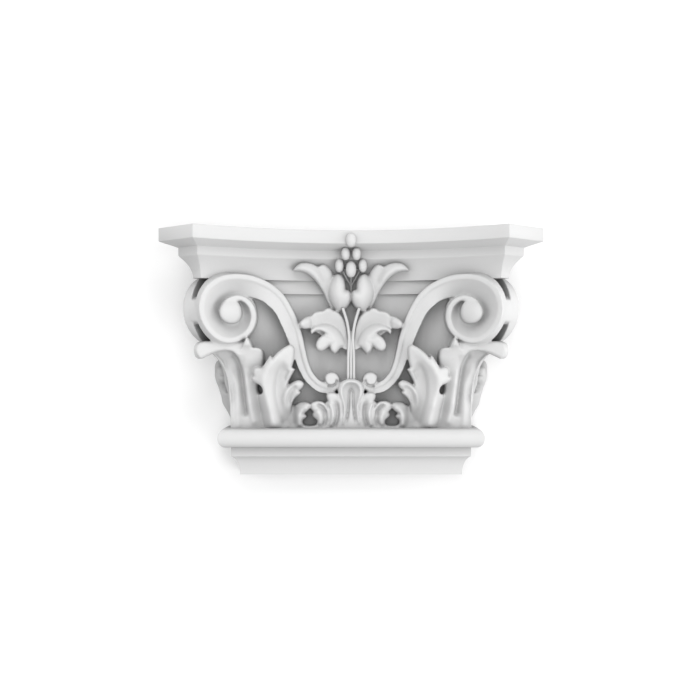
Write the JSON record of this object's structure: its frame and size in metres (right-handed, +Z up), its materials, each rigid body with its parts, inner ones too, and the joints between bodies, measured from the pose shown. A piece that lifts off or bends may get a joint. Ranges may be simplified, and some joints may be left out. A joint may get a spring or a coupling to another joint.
{
  "type": "corinthian pilaster capital",
  "caption": "White cast Corinthian capital for a pilaster: hollow-fronted abacus, corner volutes, acanthus leaves and a flower spray over a moulded foot, flat at the back.",
  "frame": {"origin": "middle of the flat back face, which lies against the wall", "axes": "+X to the viewer's right, +Y into the wall, +Z up; the carved front faces -Y"},
  "size_m": [0.4006, 0.1123, 0.2604],
  "materials": {
    "plaster": "smooth matte white cast plaster"
  },
  "bodies": {
    "root": {"capital": "plaster"}
  },
  "joints": []
}
